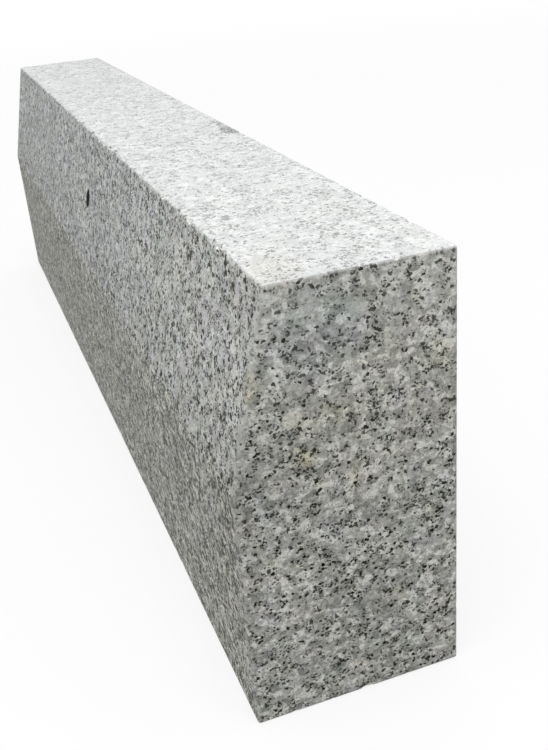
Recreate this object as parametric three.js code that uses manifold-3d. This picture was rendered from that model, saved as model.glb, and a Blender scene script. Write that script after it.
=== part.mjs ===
// Half-battered kerb stone: one sawn block of granite.
// Millimetres, +Z up. The length runs along X, the upright back face looks to +Y and the kerb face to -Y.
// The origin is the middle of the bed, the face that the stone stands on.

import * as THREE from 'three';
import { mergeVertices } from 'three/addons/utils/BufferGeometryUtils.js';
import Module from 'manifold-3d';

// The block
const kerbLength = 915;
const kerbHeight = 255;
const bedWidth = 125;      // from the back face to the upright part of the kerb face
const topWidth = 100;      // from the back face to the top of the batter
const batterHeight = 108;  // how far down from the top face the batter reaches
const arris = 1.5;         // how far each eased edge is cut back along both of its faces

// The natural pit in the batter, an upright oval
const pitHeight = 14;
const pitWidth = 8;
const pitDepth = 2.5;
const pitFromTop = 55;     // down the slope from the top face
const pitFromMiddle = 42;  // from the middle of the stone towards its +X end
const pitSegmentsAround = 24;
const pitSegmentsDown = 16;

const backY = bedWidth / 2;
const kerbFaceY = backY - bedWidth;
const batterTopY = backY - topWidth;
const batterFootZ = kerbHeight - batterHeight;
const batterLean = Math.atan2(batterTopY - kerbFaceY, batterHeight);

const granite = new THREE.MeshStandardMaterial({
  color: 0xb0b1ad,
  roughness: 0.85,
  metalness: 0,
  flatShading: true,
});

const wasm = await Module();
wasm.setup();

function toSolid(geometry) {
  geometry.deleteAttribute('normal');
  geometry.deleteAttribute('uv');
  const welded = mergeVertices(geometry);
  return new wasm.Manifold(new wasm.Mesh({
    numProp: 3,
    vertProperties: welded.attributes.position.array,
    triVerts: Uint32Array.from(welded.index.array),
  }));
}

function toGeometry(solid) {
  const { vertProperties, triVerts } = solid.getMesh();
  const geometry = new THREE.BufferGeometry();
  geometry.setAttribute('position', new THREE.BufferAttribute(vertProperties, 3));
  geometry.setIndex(new THREE.BufferAttribute(triVerts, 1));
  geometry.computeVertexNormals();
  return geometry;
}

// The two points that replace a corner of the section, one on each of the lines that meet there
function easedCorner(before, corner, after) {
  return [before, after].map((neighbour) => neighbour.clone().sub(corner).setLength(arris).add(corner));
}

// The section, across (y) and up (z). The obtuse edge at the foot of the batter stays crisp.
function section() {
  const bedFront = new THREE.Vector2(kerbFaceY, 0);
  const bedBack = new THREE.Vector2(backY, 0);
  const topBack = new THREE.Vector2(backY, kerbHeight);
  const topFront = new THREE.Vector2(batterTopY, kerbHeight);
  const batterFoot = new THREE.Vector2(kerbFaceY, batterFootZ);
  return new THREE.Shape([
    ...easedCorner(batterFoot, bedFront, bedBack),
    ...easedCorner(bedFront, bedBack, topBack),
    ...easedCorner(bedBack, topBack, topFront),
    ...easedCorner(topBack, topFront, batterFoot),
    batterFoot,
  ]);
}

// The section run along the length, with the arrises round both sawn ends eased as well
function sawnBlock() {
  const depth = kerbLength - 2 * arris;
  const block = new THREE.ExtrudeGeometry(section(), {
    depth,
    bevelThickness: arris,
    bevelSize: arris,
    bevelOffset: -arris,
    bevelSegments: 1,
  });
  block.translate(0, 0, -depth / 2);
  // The section's own axes turn to +Y and +Z, and the run turns to +X
  block.rotateX(Math.PI / 2);
  block.rotateZ(Math.PI / 2);
  return block;
}

// The hollow of the pit: an oval ball whose middle lies on the batter and whose height runs up the slope
function pitScoop() {
  const scoop = new THREE.SphereGeometry(1, pitSegmentsAround, pitSegmentsDown);
  scoop.scale(pitWidth / 2, pitHeight / 2, pitDepth);
  scoop.rotateX(Math.PI / 2 - batterLean);
  scoop.translate(
    pitFromMiddle,
    batterTopY - pitFromTop * Math.sin(batterLean),
    kerbHeight - pitFromTop * Math.cos(batterLean),
  );
  return scoop;
}

function kerbStone() {
  const stone = toSolid(sawnBlock()).subtract(toSolid(pitScoop()));
  const mesh = new THREE.Mesh(toGeometry(stone), granite);
  mesh.name = 'kerb_stone';
  return mesh;
}

const part = new THREE.Group();
part.add(kerbStone());

export default part;
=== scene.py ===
"""Half-battered granite kerb stone: a sawn block with eased and chipped arrises and a natural pit,
in speckled grey granite, on a plain pale stage. Lengths are in metres, +Z is up, +X runs along the
stone, the upright back face looks to +Y and the kerb face to -Y."""

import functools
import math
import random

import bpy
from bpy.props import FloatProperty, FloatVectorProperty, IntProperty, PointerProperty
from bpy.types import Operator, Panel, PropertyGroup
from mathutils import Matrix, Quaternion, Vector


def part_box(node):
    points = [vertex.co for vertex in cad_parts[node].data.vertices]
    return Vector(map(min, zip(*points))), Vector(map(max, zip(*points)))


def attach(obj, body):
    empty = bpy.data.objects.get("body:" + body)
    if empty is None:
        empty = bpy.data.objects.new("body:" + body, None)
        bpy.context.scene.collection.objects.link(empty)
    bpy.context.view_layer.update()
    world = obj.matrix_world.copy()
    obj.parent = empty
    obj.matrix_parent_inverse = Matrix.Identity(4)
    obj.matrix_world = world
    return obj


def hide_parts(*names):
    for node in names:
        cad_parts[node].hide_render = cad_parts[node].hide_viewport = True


bl_info = {
    "name": "Granite Kerb Stone",
    "version": (1, 0, 0),
    "blender": (4, 5, 0),
    "location": "3D View > Sidebar > Kerb Stone",
    "description": "Builds a half-battered kerb stone in speckled granite with chipped arrises",
    "category": "Add Mesh",
}

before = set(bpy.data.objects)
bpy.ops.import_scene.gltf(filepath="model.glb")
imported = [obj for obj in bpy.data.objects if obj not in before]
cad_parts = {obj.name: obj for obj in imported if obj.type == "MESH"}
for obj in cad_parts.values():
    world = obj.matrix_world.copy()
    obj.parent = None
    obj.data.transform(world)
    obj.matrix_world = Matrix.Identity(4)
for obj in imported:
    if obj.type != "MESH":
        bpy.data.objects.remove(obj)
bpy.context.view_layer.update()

STONE_NODE = "kerb_stone"
STONE_SLOT = "granite"
STONE_NAME = "granite_kerb"
STONE_LOW, STONE_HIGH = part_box(STONE_NODE)
STONE_SIZE = STONE_HIGH - STONE_LOW
MM = 0.001

# Single crystals and stains that stand out, and the dark mark on the top. Each has its middle and
# its half sizes in millimetres and its strength. Crystals and stains have their colour's name too.
# Most lie on the end that looks to +X, less than a millimetre below its face.
END = math.floor(STONE_HIGH.x / MM)
TOP = round(STONE_HIGH.z / MM)
LARGE_CRYSTALS = (
    ((END, -28.5, 184), (4, 4.5, 5), 0.85, "cream"),
    ((END, 24, 63), (4, 3, 3), 0.6, "cream"),
    ((END, 7, 77), (4, 2.6, 2.8), 1.0, "white"),
    ((END, -17, 244), (4, 5, 6), 0.7, "pale"),
    ((END, 10, 235), (4, 5, 5), 0.75, "pale"),
    ((END, 27, 219), (4, 4.5, 7), 0.65, "pale"),
)
STAINS = (
    ((END, -50, 207), (9, 6, 9), 0.7, "straw"),
    ((END, 50, 200), (9, 10, 9), 0.4, "straw"),
    ((END, -12, 180), (9, 14, 10), 0.4, "straw"),
    ((END, -21, 161), (9, 7, 6), 0.5, "straw"),
    ((END, -22, 157), (9, 5, 4), 0.4, "rust"),
    ((END, -57, 130), (9, 4, 8), 0.4, "rust"),
    ((440, -25, TOP), (24, 16, 9), 0.2, "rust"),
    ((END, 15, 180), (9, 50, 45), 0.12, "straw"),
    ((END, -14, 228), (9, 28, 30), 0.8, "slate"),
    # A darker patch along the end's edge by the kerb face
    ((END, -52, 142), (5, 15, 48), 0.9, "darkening"),
)
# The dark marks at the back of the top face, drawn as denser mica
DARK_MARKS = (
    ((118, 57, TOP), (14, 7, 6), 1.0),
    ((88, 59, TOP), (20, 5, 6), 0.6),
)

# Edges that turn by more than this are eased
SHARP_EDGE = math.radians(30)

# Each chip is cut with a flattened uneven ball, whose half width and half thickness are in depths
# of the chip. The higher the power, the more of the chips are small.
CHIP_SHAPES = 5
CHIP_HALF_WIDTH = 2.1
BALL_HALF_THICKNESS = 1.5
DEPTH_SPREAD = (0.7, 1.3)
SMALL_CHIPS_POWER = 3
MOST_CHIP_TURN_DEGREES = 25

# The pit is cut with an uneven ball too. The painted shade inside it reaches these shares of the
# pit's width along the stone and of its height up and into the batter.
PIT_UNEVENNESS = 0.05
PIT_SEED = 1
PIT_SHADE_ALONG = 0.9
PIT_SHADE_UP = 0.6

# Each pair is where a look of the stone begins and where it is full. These are depths below a
# face, distances from an arris and from an end, heights above the bed and places along the stone.
WORN_SKIN = (1.0 * MM, 0.2 * MM)
ARRIS_BRUISE = (2.2 * MM, 0.8 * MM)
END_BRUISE = (6 * MM, 2 * MM)
# Painted shade towards the bed: it begins at the first height above the bed and is full at the
# second
LOW_SHADE_PART = (250 * MM, 90 * MM)
FAR_PART = (450 * MM, 100 * MM)

# These are distances from the middle of an oval, where its rim is at 1
CRYSTAL_RIM = (1.2, 0.9)
STAIN_RIM = (1.2, 0.5)
PIT_SHADE_RIM = (1.1, 0.8)

# These are levels of a random pattern, from 0 to 1, or how far one passes another
CLOUDING = (0.3, 0.7)
QUARTZ_TO_GREY = (0.24, 0.46)
GREY_TO_WHITE = (0.5, 0.78)
CREAM_GRAINS = (0.96, 0.98)
BRUISED_PLACES = (0.3, 0.6)
MICA_CLUSTERS = (0.34, 0.72)
FLAKE_EDGE = (-0.005, 0.01)
SPECK_EDGE = (0.0, 0.04)
BOOK_EDGE = (0.0, 0.01)

# What the tone of a grain is made of, and how large the small crystals are beside the large ones
LARGE_SHARE, SMALL_SHARE, CLOUD_SHARE = 0.42, 0.24, 0.34
SMALL_CRYSTALS = 0.5

# How much mica there is: scattered flakes, ragged specks and thick books, then how much more of
# it is in clusters and where it is bold. Then how black the palest flakes and the specks are, and
# how large the specks are beside the flakes.
FLAKES, SPECKS, BOOKS = 0.035, 0.335, 0.05
CLUSTERED_MICA, CLUSTERED_BOOKS, BOLD_MICA = 0.14, 0.09, 0.035
PALEST_FLAKE, SPECK_BLACKNESS = 0.75, 0.9
SPECK_SIZE = 0.8

# What some faces have more or less of than the others, as shares
DUST = {"front": 0.5, "low_front": -0.15}
LIGHTNESS = {"front": -0.05, "low_front": 0.2, "high_end": -0.035}
BOLDNESS = {"front": 1.0, "low_front": 0.8, "high_end": -0.25}

# How strong the other looks are, as shares
MOTTLING = 0.9
END_CALMING = 0.14
MICA_OFF_CRYSTALS = 0.8
LIGHT_BETWEEN_CLUSTERS, CLUSTER_SHADE = 1.05, 0.2
DARKEST_DRIFT, LIGHTEST_DRIFT = 0.85, 1.15
BRUISING = 0.5
# Painted shade low down: the lightness of the whole stone, how far the shade darkens it, more on
# the low front, and what it takes off, less on the low front
OVERALL_LIGHTNESS = 1.05
LOW_SHADE_DARKENING, LOW_FRONT_SHADE_DARKENING = 0.05, 0.06
LOW_SHADE_LOSS, LOW_FRONT_LOSS_SPARED = 0.042, 0.022
# The painted sheen on the top face, a pale reflection painted into its colour, and how much fainter
# it is on mica and on the dark mark
TOP_SHEEN, SHEEN_OFF_MICA, SHEEN_OFF_MARK = 0.68, 0.35, 0.7

# How the grain stands out, how rough it is and how it shines
LIGHT_RELIEF, MOTTLE_RELIEF, MICA_HOLLOWS = 0.3, 0.5, 0.6
RELIEF_STRENGTH, RELIEF_HEIGHT = 0.5, 0.25 * MM
ROUGHNESS, SMOOTHER_MICA, SMOOTHER_QUARTZ = 0.82, 0.25, 0.12
SHINE = 0.1

# The grain is stretched a little, by other shares along, across and up
RIFT = Vector((1.0, 0.93, 1.07))

# Faint tints of whole stretches of the stone, as shares of its red, green and blue
DRIFT_MIDDLE = Vector((1.01, 1.0, 0.985))
DRIFT_SWING = Vector((0.10, 0.08, 0.21))
BLUE_LOSS = Vector((0, 0, 0.008))
FAR_TINT = Vector((0.985, 1.0, 1.03))
BATTER_TINT = Vector((0.985, 1.0, 1.015))
FOOT_TINT = Vector((0.97, 0.975, 0.96))

# The stage in metres, and the sensor's width in millimetres. To the camera the floor is part white
# beside the stone, which leaves a faint shadow, and it is all white from the second distance on.
LAMP_PLACE = Vector((1.0, -0.4, 2.5))
LAMP_WIDTH = 2.0
CAMERA_PLACE = Vector((0.8402, -0.1598, 0.4033))
CAMERA_AIM = Vector((0.4575, -0.0353, 0.2098))
SENSOR_WIDTH = 36
NEAREST_SEEN = 0.01
FLOOR_WHITENESS = 0.76
SHADOW_FADES = (1.0, 4.0)
WHITE = (1, 1, 1, 1)

# Where the Mix node keeps its sockets for colours
MIX_SHARE, MIX_FIRST, MIX_SECOND, MIX_RESULT = 0, 6, 7, 2


# ------------------------------------------------- sizes and colours that a user would change

def length_property(name, description, default, lowest=0.0):
    return FloatProperty(
        name=name, description=description, default=default, min=lowest, unit="LENGTH",
        precision=4)


def share_property(name, description, default):
    return FloatProperty(
        name=name, description=description, default=default, min=0.0, max=1.0, subtype="FACTOR")


def colour_property(name, description, default):
    return FloatVectorProperty(
        name=name, description=description, default=default, min=0.0, max=1.0, subtype="COLOR")


class KerbBlockSettings(PropertyGroup):
    """The sawn block"""
    length: length_property("Length", "Length of the stone", STONE_SIZE.x, MM)
    bed_width: length_property("Bed Width", "Width across the bed face", STONE_SIZE.y, MM)
    height: length_property("Height", "Height from the bed to the top face", STONE_SIZE.z, MM)
    top_width: length_property("Top Width", "Width across the top face", 100 * MM, MM)
    batter_height: length_property(
        "Batter Height", "How far the batter reaches down from the top", 108 * MM)
    arris: length_property("Arris", "How far the sawn edges are eased", 1.5 * MM)


class KerbChipSettings(PropertyGroup):
    """The small chips knocked off the arrises"""
    shortest: length_property("Shortest", "Length of the smallest chip", 2 * MM)
    longest: length_property("Longest", "Length of the largest chip", 11 * MM)
    gap: length_property("Gap", "Mean sound length between chips along the stone", 6 * MM)
    end_gap: length_property("End Gap", "Mean sound length between chips round an end", 14 * MM)
    depth: share_property("Depth", "Depth of a chip as a share of its length", 0.16)
    unevenness: share_property("Unevenness", "How uneven the broken surface is", 0.07)
    seed: IntProperty(
        name="Seed", description="Another number gives other chips", default=35, min=0)


class KerbPitSettings(PropertyGroup):
    """The natural pit in the batter"""
    height: length_property("Height", "Height of the pit, up the slope", 14 * MM)
    width: length_property("Width", "Width of the pit along the stone", 8 * MM)
    depth: length_property("Depth", "Depth of the pit", 2.5 * MM)
    from_top: length_property("From Top", "Distance down the slope from the top face", 55 * MM)
    from_middle: length_property("From Middle", "Distance along the stone from its middle", 42 * MM)


class KerbGraniteSettings(PropertyGroup):
    """The stone itself: its minerals, their sizes, what the surface has picked up, painted shade
    and sheen
    """
    white: colour_property("White Feldspar", "The white crystals", (0.88, 0.89, 0.865))
    pale: colour_property("Pale Feldspar", "The few large smooth crystals", (0.67, 0.68, 0.66))
    grey: colour_property("Grey Feldspar", "The grey crystals", (0.56, 0.565, 0.545))
    quartz: colour_property("Quartz", "The glassy grey crystals", (0.35, 0.363, 0.35))
    cream: colour_property("Cream Feldspar", "The few cream crystals", (0.88, 0.865, 0.785))
    mica: colour_property("Mica", "The black flakes", (0.032, 0.034, 0.033))
    rust: colour_property("Rust", "The tint of a brown stain", (0.88, 0.78, 0.64))
    straw: colour_property("Straw", "The tint of a yellow stain", (1.0, 0.96, 0.8))
    slate: colour_property("Slate", "The tint of a cool patch", (0.93, 0.965, 1.0))
    # Makes the end darker along its edge by the kerb face
    darkening: colour_property("Darkening", "The tint of a dirty patch", (0.86, 0.865, 0.87))
    dust: colour_property("Dust", "The dust rubbed into the kerb face", (0.76, 0.76, 0.74))
    # Painted sheen: the pale reflection on the top face, painted into its colour
    top_sheen: colour_property("Top Sheen", "The pale dust and bleaching on top", (0.80, 0.819, 0.824))
    bruise: colour_property("Bruise", "The crushed stone along the arrises", (0.58, 0.58, 0.56))
    # Painted shade: the near-black inside of the pit
    pit_shade: colour_property("Pit Shade", "The dark inside of the pit", (0.02, 0.02, 0.02))
    crystal_size: length_property(
        "Crystal Size", "Size of the larger crystals", 5.2 * MM, 0.1 * MM)
    flake_size: length_property("Flake Size", "Size of the mica flakes", 1.5 * MM, 0.1 * MM)
    book_size: length_property(
        "Book Size", "Size of the thick mica in the kerb face", 2.3 * MM, 0.1 * MM)


class KerbStageSettings(PropertyGroup):
    """The floor, the light and the camera"""
    floor: colour_property("Floor", "Colour of the floor", (0.97, 0.97, 0.97))
    floor_return: share_property("Floor Return", "How much light the floor throws back up", 0.16)
    floor_size: length_property("Floor Size", "Side of the square floor", 60.0, 1.0)
    sky: FloatProperty(
        name="Sky", description="Strength of the even light all round", default=0.8, min=0)
    lamp_power: FloatProperty(
        name="Lamp Power", description="Power of the soft lamp overhead", default=24.0, min=0,
        unit="POWER")
    lens: FloatProperty(
        name="Lens", description="Focal length in millimetres", default=45.8, min=1)
    roll: FloatProperty(
        name="Roll", description="How far the camera leans", default=math.radians(-5.17),
        subtype="ANGLE")


# ------------------------------------------------- helpers for the modelling

def deselect_all():
    bpy.ops.object.select_all(action="DESELECT")


def select_only(piece):
    deselect_all()
    piece.select_set(True)
    bpy.context.view_layer.objects.active = piece


def cut_away(stone, cutter):
    """Takes the cutter's solid out of the stone, and removes the cutter"""
    faces_before = len(stone.data.polygons)
    select_only(stone)
    bpy.ops.object.modifier_add(type="BOOLEAN")
    cut = stone.modifiers[-1]
    cut.operation = "DIFFERENCE"
    cut.solver = "MANIFOLD"
    cut.object = cutter
    bpy.ops.object.modifier_apply(modifier=cut.name)
    if len(stone.data.polygons) <= faces_before:
        raise RuntimeError("the cut took nothing out of the stone, or all of it")
    bpy.data.objects.remove(cutter, do_unlink=True)


def turned_to(x_way, y_way, z_way):
    """The turn that points the three axes these ways"""
    return Matrix((x_way, y_way, z_way)).transposed().to_4x4()


class Section:
    """The section's corners, across and up, from the front of the bed round to the batter's foot"""

    def __init__(self, block):
        back = block.bed_width / 2
        self.foot = Vector((-back, block.height - block.batter_height))
        self.top_front = Vector((back - block.top_width, block.height))
        self.corners = (
            Vector((-back, 0)), Vector((back, 0)), Vector((back, block.height)),
            self.top_front, self.foot)
        self.lean = math.atan2(self.top_front.x - self.foot.x, block.batter_height)
        self.batter_normal = Vector((0, -math.cos(self.lean), math.sin(self.lean)))
        self.up_slope = Vector((0, math.sin(self.lean), math.cos(self.lean)))

    def sides(self):
        """Each side of the section: its two corners, and in space the way that it faces"""
        following = self.corners[1:] + self.corners[:1]
        for start, end in zip(self.corners, following):
            run = (end - start).normalized()
            yield start, end, Vector((0, run.y, -run.x))

    def arrises(self, length):
        """Every sharp edge of the block: its two ends, and the way that it points outwards"""
        half = length / 2
        sides = list(self.sides())
        for index, (start, end, facing) in enumerate(sides):
            facing_before = sides[index - 1][2]
            if start != self.foot:
                outward = (facing + facing_before).normalized()
                yield Vector((-half, *start)), Vector((half, *start)), outward
            for way in (-1, 1):
                outward = (facing + Vector((way, 0, 0))).normalized()
                yield Vector((way * half, *start)), Vector((way * half, *end)), outward


# ------------------------------------------------- the block, its chips and its pit

def saw_block(block):
    """Saws the block: a cuboid with the batter cut off its front and its sharp edges eased"""
    section = Section(block)
    deselect_all()
    bpy.ops.mesh.primitive_cube_add(
        size=1, location=(0, 0, block.height / 2),
        scale=(block.length, block.bed_width, block.height))
    stone = bpy.context.active_object
    stone.name = stone.data.name = STONE_NAME
    bpy.ops.object.transform_apply(location=True, rotation=True, scale=True)
    bpy.ops.object.mode_set(mode="EDIT")
    bpy.ops.mesh.select_all(action="SELECT")
    bpy.ops.mesh.bisect(
        plane_co=(0, *section.foot), plane_no=section.batter_normal,
        use_fill=True, clear_outer=True)
    bpy.ops.mesh.select_all(action="DESELECT")
    bpy.ops.mesh.edges_select_sharp(sharpness=SHARP_EDGE)
    bpy.ops.mesh.bevel(
        offset=block.arris, offset_type="OFFSET", segments=2, profile=0.5, affect="EDGES")
    bpy.ops.object.mode_set(mode="OBJECT")
    return stone


def uneven_balls(count, unevenness, seed):
    """Unit balls with uneven surfaces, each another shape, that chips and the pit are cut with"""
    balls = []
    for index in range(count):
        deselect_all()
        bpy.ops.mesh.primitive_ico_sphere_add(subdivisions=3, radius=1)
        bpy.ops.object.mode_set(mode="EDIT")
        bpy.ops.mesh.select_all(action="SELECT")
        bpy.ops.transform.vertex_random(
            offset=unevenness, uniform=0.2, normal=0.8, seed=seed + index)
        bpy.ops.object.mode_set(mode="OBJECT")
        balls.append(bpy.context.active_object)
    return balls


def strike_chip(ball, at, along, outward, length, depth, turn):
    """Copies a ball to an arris, flattened so that it bites a bowl of that length and depth"""
    chip = ball.copy()
    chip.data = ball.data.copy()
    bpy.context.collection.objects.link(chip)
    half_thickness = BALL_HALF_THICKNESS * depth
    half_width = CHIP_HALF_WIDTH * depth
    chip.matrix_world = (
        Matrix.Translation(at + outward * (half_thickness - depth))
        @ Matrix.Rotation(turn, 4, along)
        @ turned_to(along, outward.cross(along), outward)
        @ Matrix.Diagonal((length / 2, half_width, half_thickness, 1)))
    return chip


def strike_chips(block, chips):
    """Chips along every arris, one after another with sound stretches between them"""
    chance = random.Random(chips.seed)
    balls = uneven_balls(CHIP_SHAPES, chips.unevenness, chips.seed)
    # The middle of a rounded arris lies this far inside the sharp one
    eased = block.arris * (math.sqrt(2) - 1)
    clear_of_corner = 2 * (chips.shortest + block.arris)
    struck = []
    for start, end, outward in Section(block).arrises(block.length):
        along = (end - start).normalized()
        gap = chips.gap if along.x else chips.end_gap
        last = (end - start).length - clear_of_corner
        reached = clear_of_corner
        while reached < last:
            size = chance.random() ** SMALL_CHIPS_POWER
            length = chips.shortest + (chips.longest - chips.shortest) * size
            middle = reached + chance.expovariate(1 / gap) + length / 2
            reached = middle + length / 2
            if reached < last:
                depth = length * chips.depth * chance.uniform(*DEPTH_SPREAD)
                at = start + along * middle - outward * eased
                degrees = chance.uniform(-MOST_CHIP_TURN_DEGREES, MOST_CHIP_TURN_DEGREES)
                turn = math.radians(degrees)
                ball = chance.choice(balls)
                struck.append(strike_chip(ball, at, along, outward, length, depth, turn))
    for ball in balls:
        bpy.data.objects.remove(ball, do_unlink=True)
    return struck


def chip_arrises(stone, block, chips):
    """Knocks small chips off the arrises, each a shallow uneven bowl"""
    struck = strike_chips(block, chips)
    if not struck:
        raise RuntimeError("no chip fits on the arrises: shorten the gaps or the chips")
    deselect_all()
    for chip in struck:
        chip.select_set(True)
    bpy.context.view_layer.objects.active = struck[0]
    bpy.ops.object.join()
    bpy.ops.object.transform_apply(location=True, rotation=True, scale=True)
    cut_away(stone, struck[0])


def pit_frame(pit, section):
    """The pit's place, with X along the stone, Y up the batter's slope and Z out of its face"""
    middle = Vector((pit.from_middle, *section.top_front)) - section.up_slope * pit.from_top
    along = Vector((1, 0, 0))
    turned = turned_to(along, section.up_slope, section.batter_normal)
    return Matrix.Translation(middle) @ turned


def sink_pit(stone, block, pit):
    """Sinks the natural pit, an upright oval hollow in the batter"""
    ball = uneven_balls(1, PIT_UNEVENNESS, PIT_SEED)[0]
    half_sizes = Matrix.Diagonal((pit.width / 2, pit.height / 2, pit.depth, 1))
    ball.matrix_world = pit_frame(pit, Section(block)) @ half_sizes
    select_only(ball)
    bpy.ops.object.transform_apply(location=True, rotation=True, scale=True)
    cut_away(stone, ball)


# ------------------------------------------------- shader formulas

def is_number(value):
    if isinstance(value, Term):
        return value.socket.type == "VALUE"
    return isinstance(value, (int, float))


class Term:
    """A number, vector or colour inside a shader. A formula on terms adds its nodes."""

    def __init__(self, finish, socket):
        self.finish = finish
        self.socket = socket

    def maths(self, operation, *values):
        """Works out numbers with a Math node, and vectors and colours with a Vector Math node"""
        kind = "Math"
        if not all(is_number(value) for value in values):
            kind = "VectorMath"
            values = [
                (value,) * 3 if isinstance(value, (int, float)) else value for value in values]
        return self.finish.node(kind, {"operation": operation}, dict(enumerate(values)))

    def __add__(self, other):
        return self.maths("ADD", self, other)

    def __radd__(self, other):
        return self.maths("ADD", other, self)

    def __sub__(self, other):
        return self.maths("SUBTRACT", self, other)

    def __rsub__(self, other):
        return self.maths("SUBTRACT", other, self)

    def __mul__(self, other):
        return self.maths("MULTIPLY", self, other)

    def __rmul__(self, other):
        return self.maths("MULTIPLY", other, self)

    def __abs__(self):
        return self.maths("ABSOLUTE", self)

    def lesser(self, other):
        return self.maths("MINIMUM", self, other)

    def greater(self, other):
        return self.maths("MAXIMUM", self, other)

    def length(self):
        return self.finish.node("VectorMath", {"operation": "LENGTH"}, {0: self}, "Value")

    def along(self, direction):
        """How far a vector reaches in that direction"""
        vectors = {0: self, 1: direction}
        return self.finish.node("VectorMath", {"operation": "DOT_PRODUCT"}, vectors, "Value")

    def parts(self):
        """The three parts of a vector, or the red, green and blue of a colour, each as a number"""
        first = self.finish.node("SeparateXYZ", {}, {0: self})
        return [Term(self.finish, socket) for socket in first.socket.node.outputs]

    def step(self, low, high):
        """A soft step from 0 at low to 1 at high; it goes down where low is above high"""
        limits = {"Value": self, "From Min": low, "From Max": high}
        return self.finish.node("MapRange", {"interpolation_type": "SMOOTHSTEP"}, limits)


class Finish:
    """The node tree of one material or world, whose nodes are added by formula"""

    def __init__(self, owner):
        owner.use_nodes = True
        self.owner = owner
        self.tree = owner.node_tree
        self.tree.nodes.clear()

    def node(self, kind, settings=None, sockets=None, output=0):
        """Adds a node, with its settings first and then the values or links of its sockets"""
        node = self.tree.nodes.new("ShaderNode" + kind)
        for name, value in (settings or {}).items():
            setattr(node, name, value)
        for name, value in (sockets or {}).items():
            if isinstance(value, Term):
                self.tree.links.new(value.socket, node.inputs[name])
            else:
                node.inputs[name].default_value = value
        return Term(self, node.outputs[output]) if node.outputs else None

    def mix(self, share, first, second):
        """Blends two colours, from the first at 0 to the second at 1"""
        first, second = (
            value if isinstance(value, Term) else (*value, 1) for value in (first, second))
        sockets = {MIX_SHARE: share, MIX_FIRST: first, MIX_SECOND: second}
        return self.node("Mix", {"data_type": "RGBA"}, sockets, MIX_RESULT)

    def noise(self, place, size, detail=2.0, output="Fac"):
        """Soft clouds about size across"""
        sockets = {"Vector": place, "Scale": 1 / size, "Detail": detail}
        return self.node("TexNoise", {}, sockets, output)

    def swirls(self, place, size, detail=2.0):
        """Soft clouds in each of three directions, or three colours, evenly about 0"""
        return self.noise(place, size, detail, "Color") - 0.5

    def grains(self, place, size):
        """Angular grains about size across, each with a random colour of its own"""
        return self.node("TexVoronoi", {}, {"Vector": place, "Scale": 1 / size}, "Color")

    def warp(self, place, size, reach):
        """Bends a pattern by up to reach, in swirls about size across"""
        return place + self.swirls(place, size) * (2 * reach)


# ------------------------------------------------- the granite

def skin(depth):
    """1 at a face, fading to 0 within a millimetre below it, so that a chip shows fresh stone"""
    return depth.step(*WORN_SKIN)


class Faces:
    """Where a point lies: its distances from the stone's edges, and masks of the stone's parts"""

    def __init__(self, place, block):
        section = Section(block)
        x, y, z = place.parts()
        below_batter = (place - Vector((0, *section.foot))).along(-section.batter_normal)
        below_low_front = y + block.bed_width / 2
        below_front = below_low_front.lesser(below_batter)
        below_side = (block.bed_width / 2 - y).lesser(below_front)
        below_top_or_bed = z.lesser(block.height - z)
        self.below_end = block.length / 2 - abs(x)
        self.to_arris = (
            self.below_end.greater(below_side)
            .lesser(below_side.greater(below_top_or_bed))
            .lesser(self.below_end.greater(below_top_or_bed)))
        self.top = skin(block.height - z)
        self.front = skin(below_front)
        self.low_front = skin(below_low_front)
        self.batter = self.front - self.low_front
        # Painted shade, darker towards the bed
        self.low_shade = z.step(*LOW_SHADE_PART)
        self.high_end = skin(self.below_end) * (1 - self.low_shade)
        self.far = x.step(*FAR_PART) * (1 - self.low_front)

    def weighed(self, shares):
        """Adds up the masks that are named, each times its share"""
        return functools.reduce(
            Term.__add__, (getattr(self, mask) * share for mask, share in shares.items()))


def crystals(finish, place, look):
    """Feldspar and quartz: angular grains of two sizes and soft clouds, in greys and some cream"""
    bent = finish.warp(place, size=4 * MM, reach=1.2 * MM)
    bent = finish.warp(bent, size=1.1 * MM, reach=0.35 * MM)
    large, hue, _ = finish.grains(bent, look.crystal_size).parts()
    small, _, _ = finish.grains(bent, SMALL_CRYSTALS * look.crystal_size).parts()
    cloud = finish.noise(place, size=2.4 * MM, detail=4.0).step(*CLOUDING)
    tone = large * LARGE_SHARE + small * SMALL_SHARE + cloud * CLOUD_SHARE
    colour = finish.mix(tone.step(*QUARTZ_TO_GREY), look.quartz, look.grey)
    colour = finish.mix(tone.step(*GREY_TO_WHITE), colour, look.white)
    return finish.mix(hue.step(*CREAM_GRAINS) * cloud, colour, look.cream), tone


def mica(finish, place, look, dark_mark, boldness):
    """How black the mica is at a point, and how far it gathers there in a cluster or at a dark mark
    """
    gather = finish.noise(place, size=6 * MM).step(*MICA_CLUSTERS).greater(dark_mark)
    more = gather * CLUSTERED_MICA + boldness * BOLD_MICA
    bent = finish.warp(place, size=1.6 * MM, reach=0.7 * MM)
    flake, depth, _ = finish.grains(bent, look.flake_size).parts()
    blackness = depth * (1 - PALEST_FLAKE) + PALEST_FLAKE
    flakes = (more + FLAKES - flake).step(*FLAKE_EDGE) * blackness
    ragged = finish.noise(place, size=SPECK_SIZE * look.flake_size, detail=3.0)
    specks = (more + SPECKS - ragged).step(*SPECK_EDGE) * SPECK_BLACKNESS
    book, _, _ = finish.grains(bent, look.book_size).parts()
    books = ((gather * CLUSTERED_BOOKS + BOOKS) * boldness - book).step(*BOOK_EDGE)
    return flakes.greater(specks).greater(books), gather


def oval(place, middle, reach):
    """0 in the middle of an oval, 1 on its rim and more outside it"""
    return ((place - Vector(middle)) * Vector(1 / part for part in reach)).length()


def patch(place, middle, reach, strength, rim=CRYSTAL_RIM):
    """How much an oval patch shows, with its place and half sizes in millimetres"""
    return oval(place, Vector(middle) * MM, Vector(reach) * MM).step(*rim) * strength


def any_of(masks):
    """The strongest of several masks at each point"""
    return functools.reduce(Term.greater, masks)


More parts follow.
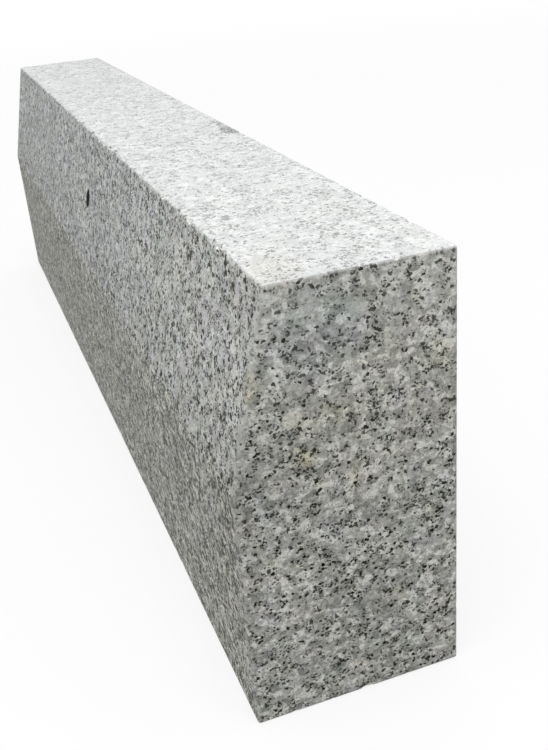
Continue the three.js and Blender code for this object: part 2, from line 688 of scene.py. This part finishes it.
def fresh_stone(finish, place, swayed, faces, look):
    """The minerals: their colour, then how light, mottled and black they are, and the dark marks"""
    rift = place * RIFT
    colour, tone = crystals(finish, rift, look)
    large = []
    for *where, name in LARGE_CRYSTALS:
        large.append(patch(swayed, *where))
        colour = finish.mix(large[-1], colour, getattr(look, name))
    mottle = finish.noise(place, size=0.9 * MM)
    colour = colour * ((mottle - 0.5) * MOTTLING + 1)
    colour = finish.mix(faces.weighed(DUST), colour, look.dust)
    colour = colour * (1 + faces.weighed(LIGHTNESS))
    colour = finish.mix(faces.high_end * END_CALMING, colour, look.bruise)
    dark_mark = any_of(patch(swayed, *where) for where in DARK_MARKS)
    black, gather = mica(finish, rift, look, dark_mark, faces.weighed(BOLDNESS))
    black = black * (1 - any_of(large) * MICA_OFF_CRYSTALS)
    colour = colour * (LIGHT_BETWEEN_CLUSTERS - gather * CLUSTER_SHADE)
    return finish.mix(black, colour, look.mica), tone, mottle, black, dark_mark


def drifting(finish, colour, place):
    """Drifts of lighter, warmer and cooler stone through the block"""
    light = finish.noise(place, size=60 * MM)
    colour = colour * (light * (LIGHTEST_DRIFT - DARKEST_DRIFT) + DARKEST_DRIFT)
    hue = finish.swirls(place, size=18 * MM, detail=3.0)
    return colour * (hue * DRIFT_SWING + DRIFT_MIDDLE) - BLUE_LOSS


def bruised(finish, colour, place, faces, look):
    """Crushed stone in places along the arrises, and along the ends of the kerb face"""
    along_arris = faces.to_arris.step(*ARRIS_BRUISE)
    along_end = faces.front * faces.below_end.step(*END_BRUISE)
    in_places = finish.noise(place, size=7 * MM).step(*BRUISED_PLACES)
    bruise = along_arris.greater(along_end) * in_places * BRUISING
    return finish.mix(bruise, colour, look.bruise)


def shaded_low_and_tinted(finish, colour, faces):
    """Painted shade, darker low down towards the bed, and the faint tints of the far part and the
    kerb face
    """
    # Painted shade: darker towards the bed, more so on the low front
    kept = OVERALL_LIGHTNESS - faces.low_shade * (faces.low_front * LOW_FRONT_SHADE_DARKENING + LOW_SHADE_DARKENING)
    lost = faces.low_shade * (LOW_SHADE_LOSS - faces.low_front * LOW_FRONT_LOSS_SPARED)
    colour = (colour * kept - lost).greater(0)
    parts = (
        (faces.far, FAR_TINT), (faces.batter, BATTER_TINT), (faces.low_front, FOOT_TINT))
    for mask, tint in parts:
        colour = finish.mix(mask, colour, colour * tint)
    return colour


def sheened_top(finish, colour, faces, black, dark_mark, look):
    """Painted sheen: the pale reflection on the top face, fainter on mica and on the dark mark"""
    top_sheen = faces.top * (TOP_SHEEN - black * SHEEN_OFF_MICA) * (1 - dark_mark * SHEEN_OFF_MARK)
    return finish.mix(top_sheen, colour, look.top_sheen)


def stained(finish, colour, swayed, look):
    """The stains, each a tint over what is there"""
    for *where, name in STAINS:
        stain = patch(swayed, *where, rim=STAIN_RIM)
        colour = finish.mix(stain, colour, colour * Vector(getattr(look, name)))
    return colour


def shaded_pit(finish, colour, swayed, block, pit, look):
    """Painted shade: the near-black inside of the pit"""
    middle = pit_frame(pit, Section(block)).translation
    reach = (PIT_SHADE_ALONG * pit.width, PIT_SHADE_UP * pit.height, PIT_SHADE_UP * pit.height)
    pit_shade = oval(swayed, middle, reach).step(*PIT_SHADE_RIM)
    return finish.mix(pit_shade, colour, look.pit_shade)


def granite_material(block, pit, look):
    """Granite all through the block, with a worn skin, stains, painted shade in the pit and low
    down, and a painted sheen on top
    """
    finish = Finish(bpy.data.materials.new(STONE_SLOT))
    place = finish.node("TexCoord", {}, {}, "Object")
    swayed = finish.warp(place, size=6 * MM, reach=3 * MM)
    faces = Faces(place, block)
    colour, tone, mottle, black, dark_mark = fresh_stone(finish, place, swayed, faces, look)
    colour = drifting(finish, colour, place)
    colour = bruised(finish, colour, place, faces, look)
    colour = shaded_low_and_tinted(finish, colour, faces)
    colour = sheened_top(finish, colour, faces, black, dark_mark, look)
    colour = stained(finish, colour, swayed, look)
    colour = shaded_pit(finish, colour, swayed, block, pit, look)
    height = tone * LIGHT_RELIEF + mottle * MOTTLE_RELIEF - black * MICA_HOLLOWS
    relief = finish.node(
        "Bump", {},
        {"Strength": RELIEF_STRENGTH, "Distance": RELIEF_HEIGHT, "Height": height})
    roughness = ROUGHNESS - black * SMOOTHER_MICA - (1 - tone) * SMOOTHER_QUARTZ
    shader = finish.node(
        "BsdfPrincipled", {},
        {"Base Color": colour, "Roughness": roughness, "Normal": relief,
         "Specular IOR Level": SHINE})
    finish.node("OutputMaterial", {}, {"Surface": shader})
    return finish.owner


class KERB_OT_make_stone(Operator):
    """Saws the kerb stone's block, chips its arrises, sinks its pit and gives it its granite"""
    bl_idname = "kerb.make_stone"
    bl_label = "Make Kerb Stone"
    bl_options = {"REGISTER", "UNDO"}

    def execute(self, context):
        scene = context.scene
        stone = saw_block(scene.kerb_block)
        chip_arrises(stone, scene.kerb_block, scene.kerb_chips)
        sink_pit(stone, scene.kerb_block, scene.kerb_pit)
        granite = granite_material(scene.kerb_block, scene.kerb_pit, scene.kerb_granite)
        # The cuts leave an empty material slot in front
        stone.data.materials.clear()
        stone.data.materials.append(granite)
        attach(stone, "root")
        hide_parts(STONE_NODE)
        return {"FINISHED"}


# ------------------------------------------------- the stage

def seen_directly(finish):
    """1 for what is seen, directly, in a reflection or through glass, 0 for light on the stone"""
    rays = ("Is Camera Ray", "Is Glossy Ray", "Is Transmission Ray")
    return any_of(finish.node("LightPath", {}, {}, ray) for ray in rays)


def floor_material(stage):
    """A matt floor that throws back a little light, seen as nearly white with a faint shadow"""
    finish = Finish(bpy.data.materials.new("pale_floor"))
    seen = seen_directly(finish)
    far = finish.node("TexCoord", {}, {}, "Object").length().step(*SHADOW_FADES)
    colour = finish.mix(seen, (stage.floor_return,) * 3, tuple(stage.floor))
    matt = finish.node("BsdfDiffuse", {}, {"Color": colour})
    white = finish.node("Emission", {}, {"Color": WHITE, "Strength": 1.0})
    whiteness = far * (1 - FLOOR_WHITENESS) + FLOOR_WHITENESS
    shader = finish.node("MixShader", {}, {0: seen * whiteness, 1: matt, 2: white})
    finish.node("OutputMaterial", {}, {"Surface": shader})
    return finish.owner


def pale_world(stage):
    """Even light all round, and plain white where the camera sees it"""
    finish = Finish(bpy.data.worlds.new("pale_room"))
    strength = seen_directly(finish) * (1 - stage.sky) + stage.sky
    light = finish.node("Background", {}, {"Color": WHITE, "Strength": strength})
    finish.node("OutputWorld", {}, {"Surface": light})
    return finish.owner


class KERB_OT_set_stage(Operator):
    """Sets up the floor, the even light, the soft lamp overhead and the camera"""
    bl_idname = "kerb.set_stage"
    bl_label = "Set Stage"
    bl_options = {"REGISTER", "UNDO"}

    def execute(self, context):
        scene = context.scene
        stage = scene.kerb_stage
        scene.view_settings.view_transform = "Standard"
        scene.world = pale_world(stage)
        deselect_all()
        bpy.ops.mesh.primitive_plane_add(size=stage.floor_size)
        floor = context.active_object
        floor.name = floor.data.name = "floor"
        floor.data.materials.append(floor_material(stage))
        self.hang_lamp(context, stage)
        self.place_camera(context, stage)
        return {"FINISHED"}

    def hang_lamp(self, context, stage):
        bpy.ops.object.light_add(type="AREA", location=LAMP_PLACE)
        lamp = context.active_object
        lamp.name = lamp.data.name = "soft_lamp"
        lamp.data.shape = "DISK"
        lamp.data.size = LAMP_WIDTH
        lamp.data.energy = stage.lamp_power
        lamp.rotation_euler = (-LAMP_PLACE).to_track_quat("-Z", "Y").to_euler()

    def place_camera(self, context, stage):
        bpy.ops.object.camera_add(location=CAMERA_PLACE)
        camera = context.active_object
        camera.name = camera.data.name = "camera"
        level = (CAMERA_AIM - CAMERA_PLACE).to_track_quat("-Z", "Y")
        camera.rotation_euler = (level @ Quaternion((0, 0, 1), stage.roll)).to_euler()
        camera.data.sensor_width = SENSOR_WIDTH
        camera.data.lens = stage.lens
        camera.data.clip_start = NEAREST_SEEN
        context.scene.camera = camera


# ------------------------------------------------- the sidebar panel, and building it all

class KERB_PT_sidebar(Panel):
    """Lists the steps in order, with the sizes and colours of each"""
    bl_idname = "KERB_PT_sidebar"
    bl_label = "Granite Kerb Stone"
    bl_space_type = "VIEW_3D"
    bl_region_type = "UI"
    bl_category = "Kerb Stone"

    def draw(self, context):
        for operator, groups in STEPS.items():
            box = self.layout.box()
            for group in groups:
                box.label(text=SETTINGS[group].__doc__)
                settings = getattr(context.scene, group)
                for name in settings.__annotations__:
                    box.prop(settings, name)
            box.operator(operator)


STEPS = {
    "kerb.make_stone": ("kerb_block", "kerb_chips", "kerb_pit", "kerb_granite"),
    "kerb.set_stage": ("kerb_stage",),
}
SETTINGS = {
    "kerb_block": KerbBlockSettings,
    "kerb_chips": KerbChipSettings,
    "kerb_pit": KerbPitSettings,
    "kerb_granite": KerbGraniteSettings,
    "kerb_stage": KerbStageSettings,
}
CLASSES = (*SETTINGS.values(), KERB_OT_make_stone, KERB_OT_set_stage, KERB_PT_sidebar)


def register():
    for item in CLASSES:
        bpy.utils.register_class(item)
    for name, group in SETTINGS.items():
        setattr(bpy.types.Scene, name, PointerProperty(type=group))


def unregister():
    for name in SETTINGS:
        delattr(bpy.types.Scene, name)
    for item in reversed(CLASSES):
        bpy.utils.unregister_class(item)


def main():
    register()
    bpy.ops.kerb.make_stone()
    bpy.ops.kerb.set_stage()


if __name__ == "__main__":
    main()
